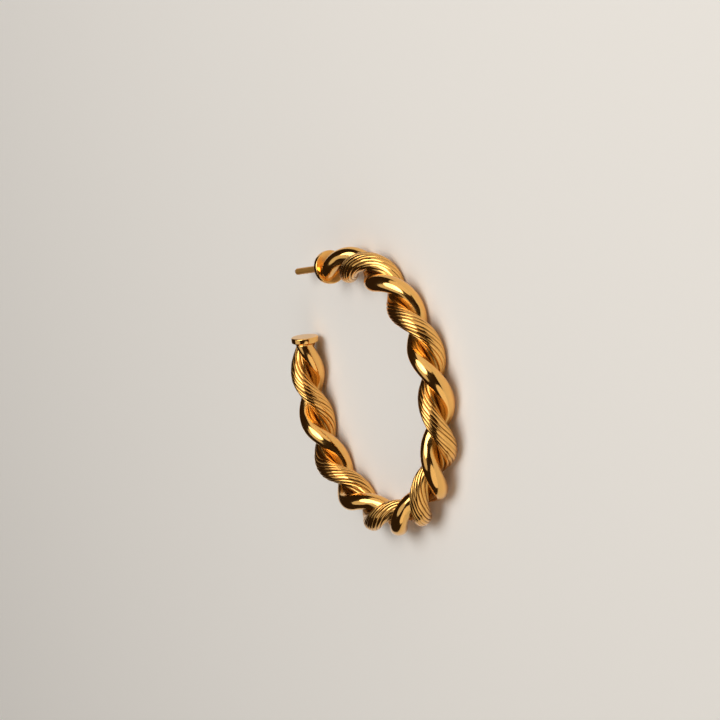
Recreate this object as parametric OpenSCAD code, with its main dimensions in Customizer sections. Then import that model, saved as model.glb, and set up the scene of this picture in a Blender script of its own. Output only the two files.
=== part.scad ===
// Open hoop earring: a smooth wire and a reeded wire twisted together and bent
// into a ring with short straight ends. A flat round cap closes each end of the
// rope, the front one larger, and a straight ear post stands on the front cap.
// The hoop lies on its side, with its lowest crests at Z = 0 and the centre of
// its ring over the origin. The post points along -X.

/* [Hoop] */
// Diameter of the ring that the middle of the rope follows
hoop_d = 35; // [30:0.5:60]
// Angle that the ring leaves open, from one straight end to the other
open_angle = 80; // [70:1:120]
// Length of the straight stretch of rope at each end of the ring
straight_l = 4.6; // [0:0.1:6]

/* [Twist] */
// Length of rope in which the two wires go once round each other
lay_l = 13.6; // [10:0.1:20]
// Side of the rope on which the smooth wire starts at the post end
start_side = 123.6; // [0:0.1:360]
// Distance between the middles of the two wires
wire_spacing = 2.4; // [2:0.05:2.8]
// Gap between the flats where the two wires lie on each other
wire_gap = 0.06; // [0.04:0.01:0.2]
// Fullness of the half of each wire that faces the other one, 2 is round
fullness = 1.7; // [1.5:0.1:2.5]

/* [Wires] */
// Diameter of the smooth wire
smooth_d = 2.4; // [2:0.05:2.8]
// Diameter of the reeded wire over the tops of its reeds
reeded_d = 2.64; // [2:0.02:3]
// Number of reeds round the reeded wire
reeds = 12; // [8:1:13]
// Depth of the grooves between the reeds
reed_depth = 0.14; // [0.05:0.01:0.2]
// Width of a groove, as a share of the width of a reed with its groove
groove_share = 0.4; // [0.2:0.05:0.6]

/* [Ends] */
// Length over which the rope draws in before each cap
draw_in = 5.5; // [2:0.1:8]
// How suddenly the rope draws in, 1 is a straight taper
draw_in_curve = 1.5; // [1:0.1:2]
// Share of the wire spacing that is left at the cap
end_spacing = 0.7; // [0.3:0.05:1]
// Share of the wire diameter that is left at the cap
end_size = 0.9; // [0.6:0.01:1]
// Diameter of the cap of the front end
front_cap_d = 4.6; // [3.4:0.1:5]
// Diameter of the cap of the back end
back_cap_d = 3.8; // [3.4:0.1:5]
// Thickness of the end caps
cap_t = 0.8; // [0.5:0.05:1]
// Rounding of the edges of the end caps
cap_edge = 0.15; // [0.05:0.01:0.2]
// Gap between the end of the rope and its cap
cap_gap = 0.05; // [0.03:0.01:0.2]

/* [Ear post] */
// Diameter of the ear post
post_d = 0.9; // [0.7:0.05:1]
// Length of the ear post from the face of its cap
post_l = 9.5; // [8:0.5:10]

/* [Smoothness] */
// Cross-sections along each wire
rings = 118; // [60:2:120]
// Points round the smooth wire
smooth_points = 18; // [12:2:24]

/* [Hidden] */

hoop_r = hoop_d / 2;
smooth_r = smooth_d / 2;
reeded_r = reeded_d / 2;
wire_offset = wire_spacing / 2;
arc_l = hoop_r * (360 - open_angle) * PI / 180;
rope_l = arc_l + 2 * straight_l;
rope_z = wire_offset + max(smooth_r, reeded_r);
cap_sides = 96;
post_sides = 48;
post_end = 90;
back_end = post_end + open_angle;
gold = [0.86, 0.62, 0.24];
deep_gold = [0.80, 0.53, 0.18];

// How far the rope has opened from its end, 0 at the cap and 1 in the full rope
function opened(s) = 1 - pow(1 - min(1, min(s, rope_l - s) / draw_in), draw_in_curve);

// Offset of a wire's middle from the middle of the rope, at s along the rope
function offset_at(s) = wire_offset * (end_spacing + (1 - end_spacing) * opened(s));

// Share of a wire's full size at s along the rope
function size_at(s) = end_size + (1 - end_size) * opened(s);

// A wire that leans across the rope is cut as an oval by a plane square to it
function lean_at(s) = sqrt(1 + pow(offset_at(s) * 2 * PI / lay_l, 2));

// Sections of the wires, as angles and radii round their own middles. A reed has a
// point in the middle of its top, and its groove has two edges and a bottom.
smooth_section = [for (i = [0 : smooth_points - 1]) [360 * i / smooth_points, smooth_r]];
reeded_section = [
    for (i = [0 : reeds - 1], share = [0, 0.5 - groove_share / 2, 0.5, 0.5 + groove_share / 2])
        [360 * (i + share) / reeds, reeded_r - (share == 0.5 ? reed_depth : 0)]];

// Sine or cosine of a wire's section, with the given fullness on the half that
// faces the other wire, which is where the cosine of its angle is below zero
function shaped(part, cosine) =
    cosine < 0 ? sign(part) * pow(abs(part), 2 / fullness) : part;

// A point of the rope's section at s, on the bent ring or on a straight end:
// out is measured away from the ring's middle and up is measured along Z
function in_ring(s, out, up) =
    let (on_arc = max(0, min(arc_l, s - straight_l)),
         past = s - straight_l - on_arc,
         a = post_end - on_arc / hoop_r * 180 / PI)
    [(hoop_r + out) * cos(a) + past * sin(a), (hoop_r + out) * sin(a) - past * cos(a), rope_z + up];

// A point on a wire: away is measured from the middle of the rope towards the
// wire and across at right angles to that, both turned to the wire's side there
function on_wire(s, side, away, across) =
    in_ring(s, away * cos(side) - across * sin(side), away * sin(side) + across * cos(side));

// One cross-section of a wire, flat where it lies on the other wire
function cross_section(s, side, section) =
    [for (point = section)
        let (a = point[0],
             r = point[1] * size_at(s),
             away = max(wire_gap / 2, offset_at(s) + r * shaped(cos(a), cos(a))))
        on_wire(s, side, away, r * lean_at(s) * shaped(sin(a), cos(a)))];

// Triangles between neighbouring sections of n points, and the two end faces,
// all listed clockwise as seen from outside
function wall_faces(n, count) =
    [for (k = [0 : count - 2], i = [0 : n - 1])
        let (a = k * n + i, b = k * n + (i + 1) % n)
        each [[a, a + n, b], [b, a + n, b + n]]];
function end_faces(n, count) =
    [[for (i = [0 : n - 1]) i], [for (i = [n - 1 : -1 : 0]) (count - 1) * n + i]];

// A wire swept along the twist, starting on the given side of the rope
module wire(start, section) {
    n = len(section);
    points = [for (k = [0 : rings - 1])
        let (s = rope_l * k / (rings - 1))
        each cross_section(s, start - 360 * s / lay_l, section)];
    polyhedron(points, concat(wall_faces(n, rings), end_faces(n, rings)));
}

// Flat round cap with softened edges, standing on Z = 0
module cap(d) {
    rotate_extrude($fn = cap_sides)
        union() {
            square([d / 2 - cap_edge, cap_t]);
            translate([0, cap_edge])
                square([d / 2, cap_t - 2 * cap_edge]);
            for (z = [cap_edge, cap_t - cap_edge])
                translate([d / 2 - cap_edge, z])
                    circle(cap_edge, $fn = post_sides);
        }
}

// Moves a piece from Z = 0 onto an end of the rope, facing out of that end
module at_end(angle, way) {
    rotate([0, 0, angle])
        translate([hoop_r, 0, rope_z])
            rotate([-90 * way, 0, 0])
                translate([0, 0, straight_l + cap_gap])
                    children();
}

// Smooth polished wire of the rope
module smooth_strand() {
    color(gold)
        wire(start_side, smooth_section);
}

// Wire with fine reeds along it
module reeded_strand() {
    color(deep_gold)
        wire(start_side + 180, reeded_section);
}

// Cap of the front end with the ear post soldered to its middle
module post_cap() {
    color(gold)
        at_end(post_end, 1)
            union() {
                cap(front_cap_d);
                cylinder(h = cap_t + post_l - post_d / 2, d = post_d, $fn = post_sides);
                translate([0, 0, cap_t + post_l - post_d / 2])
                    sphere(d = post_d, $fn = post_sides);
            }
}

// Cap of the back end
module end_cap() {
    color(gold)
        at_end(back_end, -1)
            cap(back_cap_d);
}

smooth_strand();
reeded_strand();
post_cap();
end_cap();
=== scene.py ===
import math

import bpy
import numpy as np
from mathutils import Matrix, Vector, noise


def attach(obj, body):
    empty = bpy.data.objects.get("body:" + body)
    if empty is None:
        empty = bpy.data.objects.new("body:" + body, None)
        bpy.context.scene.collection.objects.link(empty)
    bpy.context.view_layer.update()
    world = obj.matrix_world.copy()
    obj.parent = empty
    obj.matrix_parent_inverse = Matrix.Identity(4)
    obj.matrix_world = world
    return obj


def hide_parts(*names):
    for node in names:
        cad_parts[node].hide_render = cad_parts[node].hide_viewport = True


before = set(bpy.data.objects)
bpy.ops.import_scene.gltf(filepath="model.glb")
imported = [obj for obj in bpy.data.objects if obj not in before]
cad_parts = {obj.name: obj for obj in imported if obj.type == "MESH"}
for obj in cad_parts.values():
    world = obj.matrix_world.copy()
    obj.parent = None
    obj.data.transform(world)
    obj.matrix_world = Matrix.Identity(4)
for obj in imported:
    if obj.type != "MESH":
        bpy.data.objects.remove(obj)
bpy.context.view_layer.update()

# An open hoop earring that lies on its side. A smooth wire and a reeded wire are twisted into a
# rope, a flat round cap closes each end of the rope, and an ear post stands on the front cap.

# Sizes are in millimetres, which MM turns into metres, and angles are in degrees, unless a comment
# says otherwise.
MM = 0.001

# Ring that the middle of the rope follows: its radius, the angle that it leaves open, the angle at
# which its front end is, and the length of the straight stretch of rope past each end
HOOP_R = 17.5
OPEN_ANGLE = 80.0
POST_END = 90.0
STRAIGHT = 4.6

# Twist of the rope: the length of one turn, the side on which the smooth wire starts, how far the
# middle of a wire is from that of the rope, and how far the pressed flats of the wires overlap
LAY = 13.6
START_SIDE = 123.6
WIRE_OFFSET = 1.2
WIRE_OVERLAP = 0.01

# Wires: their radii, the reeds and the depth of the grooves between them, and how full the half is
# that faces the other wire, where 2 is round
SMOOTH_R = 1.2
REEDED_R = 1.32
REEDS = 12
REED_DEPTH = 0.14
FULLNESS = 1.7

# Ends of the rope: the length over which it draws in, how suddenly, with 1 for a straight taper, and
# which shares of the spacing and size of the wires are left at the cap
DRAW_IN = 5.5
DRAW_IN_CURVE = 1.5
END_SPACING = 0.7
END_SIZE = 0.9

# What follows from these sizes: the height of the middle of the rope, the length of the ring and of
# the whole rope, and the twist in radians per millimetre
ROPE_Z = WIRE_OFFSET + REEDED_R
ARC_L = HOOP_R * math.radians(360.0 - OPEN_ANGLE)
ROPE_L = ARC_L + 2.0 * STRAIGHT
TWIST = 2.0 * math.pi / LAY

# End caps, the gap behind them, the ear post, and the solder at its foot
FRONT_CAP_R = 2.3
BACK_CAP_R = 1.9
CAP_T = 0.8
CAP_EDGE = 0.15
CAP_GAP = 0.05
POST_R = 0.45
POST_L = 9.5
FILLET = 0.15

# Swells that hand polishing leaves on a wire, and where each wire lies in their pattern
SWELL_SIZE = 1.5
SWELL_HEIGHT = 0.012
SMOOTH_SEED = 3.0
REEDED_SEED = 11.0

# Reeds: how far their tops are crowned, and how much their widths vary, as a share of a reed, in
# how many waves round the wire
REED_CROWN = 0.01
REED_VARIATION = 0.07
REED_WAVES = 5

# Grooves: how narrow they are, then which share of their depth polishing has usually left, how far
# that varies, and the least of it. It changes along a groove in stretches of WEAR_SIZE, and each
# groove lies WEAR_APART from the next in that pattern, so no two are worn alike.
GROOVE_SHARPNESS = 14
GROOVE_LEFT = 0.75
GROOVE_SPREAD = 0.8
GROOVE_LEAST = 0.15
WEAR_SIZE = 9.0
WEAR_APART = 7.0
WEAR_SEED = 5.0

# Flanks of a wire along the seam: how much of them the buffing wheel misses at most, which dulls them
# and darkens their colour as painted shade, and the cosine past which it starts to miss them
SEAM_UNBUFFED_AND_SHADE = 0.9
SEAM_EDGE = 0.3

# What buffing leaves on gold plate, as sizes and as roughness. Real buffing lines are about 0.01 mm
# wide, and here they are drawn 0.12 mm wide to show at all. Haze comes in patches of a few mm.
# Where the wheel misses the plate, the dulling is added to its roughness.
HAZE_SIZE = 2.5
GRAIN_SIZE = 0.12
GRAIN_DEPTH = 0.02
GRAIN_STRENGTH = 0.06
MIRROR_ROUGHNESS = 0.08
HAZE_ROUGHNESS = 0.14
WIRE_DULLING = 0.3
POST_DULLING = 0.42

# Colours of the gold plate: buffed, and where the wheel didn't reach: in the seam and the grooves a
# darker gold that is painted shade, and on the post its own colour
BUFFED_GOLD = "#F6BE6C"
BUFFED_REEDS = "#F4BA67"
SEAM_PAINTED_SHADE = "#BFA25C"
GROOVE_PAINTED_SHADE = "#84602C"
POST_GOLD = "#F4B860"

# How fine the meshes are, and how closely the points of a reed gather in its groove
SMOOTH_RINGS = 700
SMOOTH_POINTS = 64
REEDED_RINGS = 640
POINTS_PER_REED = 10
GATHERING = 0.75
LATHE_STEPS = 96
ARC_STEPS = 8

# Half the width of the floor, in metres
FLOOR_HALF = 1.5

# Camera: its direction from the hoop and its turn about its own line of sight, its distance in
# metres, its lens in millimetres, and its shift as shares of the picture
CAMERA_AZIMUTH = math.radians(4.0)
CAMERA_ELEVATION = math.radians(28.1)
CAMERA_ROLL = math.radians(-102.66)
CAMERA_DISTANCE = 0.4855
CAMERA_LENS = 179.4
CAMERA_SHIFT = (-0.0158, 0.044)

# Soft boxes: name, azimuth and elevation in degrees, distance in metres, width and height in
# metres, power in watts, tint
SOFT_BOXES = (
    ("key_box", 55.0, 64.0, 0.6, (0.5, 0.5), 2.1, "#FFFFFF"),
    ("key_core", 38.0, 54.0, 0.59, (0.26, 0.2), 0.3, "#FFFFFF"),
    ("top_box", -150.0, 80.0, 0.6, (0.5, 0.5), 0.4, "#FFFFFF"),
    ("left_box", 55.0, 18.0, 0.6, (0.7, 0.55), 0.8, "#FFF8EE"),
    ("right_box", -58.0, 18.0, 0.6, (0.9, 0.6), 1.2, "#FFF8EE"),
)


def opened(s):
    """0 where the rope meets a cap, 1 where it has its full size."""
    t = np.minimum(1.0, np.minimum(s, ROPE_L - s) / DRAW_IN)
    return 1.0 - np.maximum(0.0, 1.0 - t) ** DRAW_IN_CURVE


def waviness(place, size, seed):
    """Soft unevenness between -1 and 1, with swells of that size in millimetres."""
    at = Vector((place[0], place[1], place[2])) / size
    return noise.noise(at + Vector((seed, -seed, seed)))


def in_ring(s, out, up):
    """A point of the rope's section at s, on the bent ring or on the straight stretch past its end."""
    on_arc = np.clip(s - STRAIGHT, 0.0, ARC_L)
    past = s - STRAIGHT - on_arc
    a = math.radians(POST_END) - on_arc / HOOP_R
    x = (HOOP_R + out) * np.cos(a) + past * np.sin(a)
    y = (HOOP_R + out) * np.sin(a) - past * np.cos(a)
    return np.stack([x, y, ROPE_Z + up], axis=-1)


def shaped(part, a):
    """Sine or cosine of a wire's section. The half that faces the other wire has flatter flanks."""
    flatter = np.sign(part) * np.abs(part) ** (2.0 / FULLNESS)
    return np.where(np.cos(a) < 0.0, flatter, part)


def wire_points(start_side, angles, radii, relief):
    """Rows of points along a wire: one row for each cross-section."""
    s = np.linspace(0.0, ROPE_L, len(radii))[:, None]
    a = angles[None, :]
    full = opened(s)
    offset = WIRE_OFFSET * (END_SPACING + (1.0 - END_SPACING) * full)
    r = radii * (END_SIZE + (1.0 - END_SIZE) * full) + relief
    lean = np.sqrt(1.0 + (offset * TWIST) ** 2)
    side = math.radians(start_side) - TWIST * s
    away = np.maximum(-WIRE_OVERLAP, offset + r * shaped(np.cos(a), a))
    across = r * lean * shaped(np.sin(a), a)
    out = away * np.cos(side) - across * np.sin(side)
    up = away * np.sin(side) + across * np.cos(side)
    return in_ring(s, out, up)


def new_piece(name, points, faces):
    """A smooth-shaded mesh object from points in millimetres."""
    mesh = bpy.data.meshes.new(name)
    mesh.from_pydata((points * MM).tolist(), [], faces)
    mesh.polygons.foreach_set("use_smooth", [True] * len(mesh.polygons))
    mesh.update()
    piece = bpy.data.objects.new(name, mesh)
    bpy.context.scene.collection.objects.link(piece)
    return piece


def closed_tube(name, rows, start, end):
    """A piece from rows of points round a tube, closed by fans of faces round two end points."""
    count, cols = rows.shape[:2]
    faces = []
    for k in range(count - 1):
        for i in range(cols):
            j = (i + 1) % cols
            faces.append((k * cols + i, k * cols + j, (k + 1) * cols + j, (k + 1) * cols + i))
    at_start = count * cols
    at_end = at_start + 1
    last_row = (count - 1) * cols
    for i in range(cols):
        j = (i + 1) % cols
        faces.append((at_start, j, i))
        faces.append((at_end, last_row + i, last_row + j))
    return new_piece(name, np.vstack([rows.reshape(-1, 3), start, end]), faces)


def mark_unbuffed_and_shade(piece, shares):
    """Tells the material, from 0 to 1, how far the buffing wheel missed each point, which dulls its
    gloss.

    In the seam and the grooves the same share also darkens the colour as painted shade.
    """
    layer = piece.data.attributes.new("unbuffed_and_shade", "FLOAT", "POINT")
    layer.data.foreach_set("value", np.array(shares, np.float32))


def wire(name, start_side, angles, radii, groove, seed):
    """A closed wire of the rope. The buffing wheel hardly reaches its grooves and its seam, which are
    duller, and their colour is darkened as painted shade.
    """
    plain = wire_points(start_side, angles, radii, 0.0)
    swells = np.array([[SWELL_HEIGHT * waviness(p, SWELL_SIZE, seed) for p in row] for row in plain])
    rows = wire_points(start_side, angles, radii, swells)
    piece = closed_tube(name, rows, rows[0].mean(0), rows[-1].mean(0))
    # The seam's share dulls the gloss and darkens the colour as painted shade
    seam = SEAM_UNBUFFED_AND_SHADE * np.clip(-np.cos(angles) - SEAM_EDGE, 0.0, 1.0)[None, :]
    mark_unbuffed_and_shade(piece, np.concatenate([np.maximum(groove, seam).reshape(-1), [0.0, 0.0]]))
    return piece


def smooth_strand():
    """Round polished wire. Its surface swells very slightly, as cast and hand-polished wire does."""
    angles = np.linspace(0.0, 2.0 * math.pi, SMOOTH_POINTS, endpoint=False)
    radii = np.full((SMOOTH_RINGS, SMOOTH_POINTS), SMOOTH_R)
    return wire("smooth_wire", START_SIDE, angles, radii, np.zeros(radii.shape), SMOOTH_SEED)


def worn_grooves():
    """Share of its depth that each groove still has, in one row for each cross-section."""
    wear = np.array([[waviness((WEAR_APART * groove, s, 0.0), WEAR_SIZE, WEAR_SEED)
                      for groove in range(REEDS)]
                     for s in np.linspace(0.0, ROPE_L, REEDED_RINGS)])
    return np.clip(GROOVE_LEFT + GROOVE_SPREAD * wear, GROOVE_LEAST, 1.0)


def reeded_strand():
    """Wire with flat-topped reeds along it. Polishing has worn some of the fine grooves nearly away."""
    even = np.arange(REEDS * POINTS_PER_REED) / POINTS_PER_REED
    across = even + GATHERING * np.sin(2.0 * math.pi * even) / (2.0 * math.pi)
    uneven = REED_VARIATION * np.sin(REED_WAVES * 2.0 * math.pi * across / REEDS)
    angles = (across + uneven) * 2.0 * math.pi / REEDS
    notch = np.abs(np.sin(math.pi * across))[None, :]
    # The groove share cuts the grooves and also darkens their colour as painted shade
    groove = np.repeat(worn_grooves(), POINTS_PER_REED, axis=1) * notch ** GROOVE_SHARPNESS
    radii = REEDED_R - REED_DEPTH * groove - REED_CROWN * (1.0 - np.sqrt(1.0 - notch ** 2))
    return wire("reeded_wire", START_SIDE + 180.0, angles, radii, groove, REEDED_SEED)


def lathe(name, profile):
    """A piece turned round Z from (radius, height) points, the first and the last on the axis."""
    turn = np.linspace(0.0, 2.0 * math.pi, LATHE_STEPS, endpoint=False)
    rows = np.array([np.stack([r * np.cos(turn), r * np.sin(turn), np.full(LATHE_STEPS, z)], axis=-1)
                     for r, z in profile[1:-1]])
    return closed_tube(name, rows, (0.0, 0.0, profile[0][1]), (0.0, 0.0, profile[-1][1]))


def arc(middle_r, middle_z, radius, start, end):
    """Points of a rounding of a turned profile, from one angle to another."""
    angles = [math.radians(start + (end - start) * k / ARC_STEPS) for k in range(ARC_STEPS + 1)]
    return [(middle_r + radius * math.cos(a), middle_z + radius * math.sin(a)) for a in angles]


def to_end(piece, angle, way):
    """Moves a turned piece onto the rope's end at that angle of the ring, facing out of that end.

    The way is 1 at the front end and -1 at the back end, where the rope runs the other way.
    """
    place = (Matrix.Rotation(math.radians(angle), 4, "Z")
             @ Matrix.Translation((HOOP_R * MM, 0.0, ROPE_Z * MM))
             @ Matrix.Rotation(math.radians(-90.0 * way), 4, "X")
             @ Matrix.Translation((0.0, 0.0, (STRAIGHT + CAP_GAP) * MM)))
    piece.data.transform(place)
    return piece


def cap_profile(radius):
    """Side of a flat cap with softened edges, from the middle of its back to its face."""
    inner = radius - CAP_EDGE
    return ([(0.0, 0.0), (inner * 0.5, 0.0)]
            + arc(inner, CAP_EDGE, CAP_EDGE, -90.0, 0.0)
            + arc(inner, CAP_T - CAP_EDGE, CAP_EDGE, 0.0, 90.0))


def post_cap():
    """Front cap with the ear post standing on it in a thin fillet of solder. Only the cap is buffed."""
    # The hollow side of the solder, out from the post and up from the cap
    solder = [(POST_R + out * FILLET, CAP_T + up * FILLET)
              for out, up in ((3.0, 0.0), (1.0, 0.2), (0.3, 0.7), (0.0, 1.6))]
    shaft = [(POST_R, CAP_T + POST_L * share) for share in (0.3, 0.6, 0.9)]
    # The round tip stops just short of the axis, where the last point closes it
    tip = CAP_T + POST_L - POST_R
    round_tip = arc(0.0, tip, POST_R, 0.0, 85.0) + [(0.0, tip + POST_R)]
    piece = lathe("front_cap_with_post", cap_profile(FRONT_CAP_R) + solder + shaft + round_tip)
    above_solder = (CAP_T + 2.0 * FILLET) * MM
    mark_unbuffed_and_shade(piece, [1.0 if point.co.z > above_solder else 0.0 for point in piece.data.vertices])
    return to_end(piece, POST_END, 1)


def end_cap():
    """Plain cap of the back end, buffed all over."""
    profile = cap_profile(BACK_CAP_R) + [(BACK_CAP_R * 0.5, CAP_T), (0.0, CAP_T)]
    return to_end(lathe("back_cap", profile), POST_END + OPEN_ANGLE, -1)


def linear(hex_colour):
    """A colour given as sRGB hex, turned to the linear values of the shaders."""
    parts = [int(hex_colour[i:i + 2], 16) / 255.0 for i in (1, 3, 5)]
    return tuple(c / 12.92 if c <= 0.04045 else ((c + 0.055) / 1.055) ** 2.4 for c in parts) + (1.0,)


def add(material, kind, settings=None, numbered=None, **named):
    """Adds a node to a material with its settings and inputs, which are given by number or by name.

    An input is a value, or the socket that it is linked from.
    """
    tree = material.node_tree
    node = tree.nodes.new(kind)
    for key, value in (settings or {}).items():
        setattr(node, key, value)
    inputs = {key.replace("_", " "): value for key, value in named.items()}
    for key, value in {**(numbered or {}), **inputs}.items():
        if isinstance(value, bpy.types.NodeSocket):
            tree.links.new(value, node.inputs[key])
        else:
            node.inputs[key].default_value = value
    return node


def empty_material(name):
    """A material with no nodes in it yet."""
    material = bpy.data.materials.new(name)
    material.use_nodes = True
    material.node_tree.nodes.clear()
    return material


def buffed_gold_plate(name, buffed, unbuffed_and_shade, dulling):
    """Thin yellow gold plate over brass, buffed on a cloth wheel and duller where the wheel missed it.

    The eye sees a warm mirror with a faint haze in soft patches. The grooves, the seam between the
    wires and the post, which the wheel missed, keep the softer gloss of bare plating. The grooves and
    the seam are also darkened in colour as painted shade, and the post keeps its own colour.
    """
    m = empty_material(name)
    place = add(m, "ShaderNodeTexCoord").outputs["Object"]
    # Share of duller gloss at each point, which in the seam and the grooves is also painted shade
    missed_and_shaded = add(m, "ShaderNodeAttribute", {"attribute_name": "unbuffed_and_shade"}).outputs["Fac"]
    # Noise seldom leaves 0.3 to 0.7, so that range is spread over the whole haze
    cloud = add(m, "ShaderNodeTexNoise", Vector=place, Scale=1.0 / (HAZE_SIZE * MM), Detail=3.0)
    haze = add(m, "ShaderNodeMapRange", Value=cloud.outputs["Fac"], From_Min=0.3, From_Max=0.7,
               To_Min=MIRROR_ROUGHNESS, To_Max=HAZE_ROUGHNESS)
    rough = add(m, "ShaderNodeMath", {"operation": "MULTIPLY_ADD"},
                {0: missed_and_shaded, 1: dulling, 2: haze.outputs["Result"]})
    # Darker gold mixed in as painted shade in the seam and the grooves; the post gets its own colour
    colour = add(m, "ShaderNodeMix", {"data_type": "RGBA"},
                 {0: missed_and_shaded, 6: linear(buffed), 7: linear(unbuffed_and_shade)})
    grain = add(m, "ShaderNodeTexNoise", Vector=place, Scale=1.0 / (GRAIN_SIZE * MM), Detail=2.0)
    bump = add(m, "ShaderNodeBump", Strength=GRAIN_STRENGTH, Distance=GRAIN_DEPTH * MM,
               Height=grain.outputs["Fac"])
    shader = add(m, "ShaderNodeBsdfPrincipled", Metallic=1.0, Base_Color=colour.outputs[2],
                 Roughness=rough.outputs[0], Normal=bump.outputs["Normal"])
    add(m, "ShaderNodeOutputMaterial", Surface=shader.outputs["BSDF"])
    return m


def pale_floor():
    """Matt painted board that the hoop lies on: an even pale ground with soft shadows and no gloss."""
    m = empty_material("pale_matt_board")
    shader = add(m, "ShaderNodeBsdfPrincipled", Base_Color=linear("#F8F4ED"), Roughness=0.85)
    add(m, "ShaderNodeOutputMaterial", Surface=shader.outputs["BSDF"])
    mesh = bpy.data.meshes.new("floor")
    corners = [(FLOOR_HALF * x, FLOOR_HALF * y, 0.0) for x, y in ((-1, -1), (1, -1), (1, 1), (-1, 1))]
    mesh.from_pydata(corners, [], [(0, 1, 2, 3)])
    floor = bpy.data.objects.new("floor", mesh)
    bpy.context.scene.collection.objects.link(floor)
    floor.data.materials.append(m)


def towards(azimuth, elevation):
    """Direction from the hoop, from angles in radians."""
    return Vector((math.cos(azimuth) * math.cos(elevation),
                   math.sin(azimuth) * math.cos(elevation),
                   math.sin(elevation)))


def photo_camera():
    """Camera with a long lens, rolled over so that the lying hoop looks upright in the picture."""
    back = towards(CAMERA_AZIMUTH, CAMERA_ELEVATION)
    level = Vector((0.0, 0.0, 1.0)).cross(back).normalized()
    right = math.cos(CAMERA_ROLL) * level + math.sin(CAMERA_ROLL) * back.cross(level)
    turn = Matrix((right, back.cross(right), back)).transposed().to_4x4()
    middle = Vector((0.0, 0.0, ROPE_Z * MM))
    data = bpy.data.cameras.new("camera")
    data.lens = CAMERA_LENS
    data.shift_x, data.shift_y = CAMERA_SHIFT
    data.clip_start, data.clip_end = 0.01, 20.0
    camera = bpy.data.objects.new("camera", data)
    camera.matrix_world = Matrix.Translation(middle + back * CAMERA_DISTANCE) @ turn
    bpy.context.scene.collection.objects.link(camera)
    bpy.context.scene.camera = camera


def soft_light(name, azimuth, elevation, distance, size, power, tint):
    """An oval soft box that stands off from the hoop in a direction given in degrees, and faces it."""
    data = bpy.data.lights.new(name, "AREA")
    data.shape = "ELLIPSE"
    data.size, data.size_y = size
    data.energy = power
    data.color = linear(tint)[:3]
    light = bpy.data.objects.new(name, data)
    way = towards(math.radians(azimuth), math.radians(elevation))
    light.location = way * distance
    light.rotation_euler = way.to_track_quat("Z", "Y").to_euler()
    bpy.context.scene.collection.objects.link(light)


def studio():
    """Oval soft boxes in a dim warm room. It stays dark behind the hoop and above the camera."""
    world = bpy.data.worlds.new("dim_room")
    bpy.context.scene.world = world
    world.use_nodes = True
    world.node_tree.nodes["Background"].inputs["Color"].default_value = linear("#2C221A")
    for soft_box in SOFT_BOXES:
        soft_light(*soft_box)
    bpy.context.scene.view_settings.view_transform = "Standard"


def main():
    """Makes the four pieces in their finishes, and the floor, camera and lights round them."""
    smooth_gold = buffed_gold_plate("gold_plate_smooth_wire", BUFFED_GOLD, SEAM_PAINTED_SHADE, WIRE_DULLING)
    reeded_gold = buffed_gold_plate("gold_plate_reeded_wire", BUFFED_REEDS, GROOVE_PAINTED_SHADE, WIRE_DULLING)
    fittings_gold = buffed_gold_plate("gold_plate_caps_and_post", BUFFED_GOLD, POST_GOLD, POST_DULLING)
    pieces = [
        (smooth_strand(), "smooth_strand", "polished_wire", smooth_gold),
        (reeded_strand(), "reeded_strand", "reeded_wire", reeded_gold),
        (post_cap(), "post_cap", "polished_fittings", fittings_gold),
        (end_cap(), "end_cap", "polished_fittings", fittings_gold),
    ]
    for piece, node, slot, material in pieces:
        piece.data.materials.append(material)
        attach(piece, "root")
        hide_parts(node)
    pale_floor()
    photo_camera()
    studio()


main()
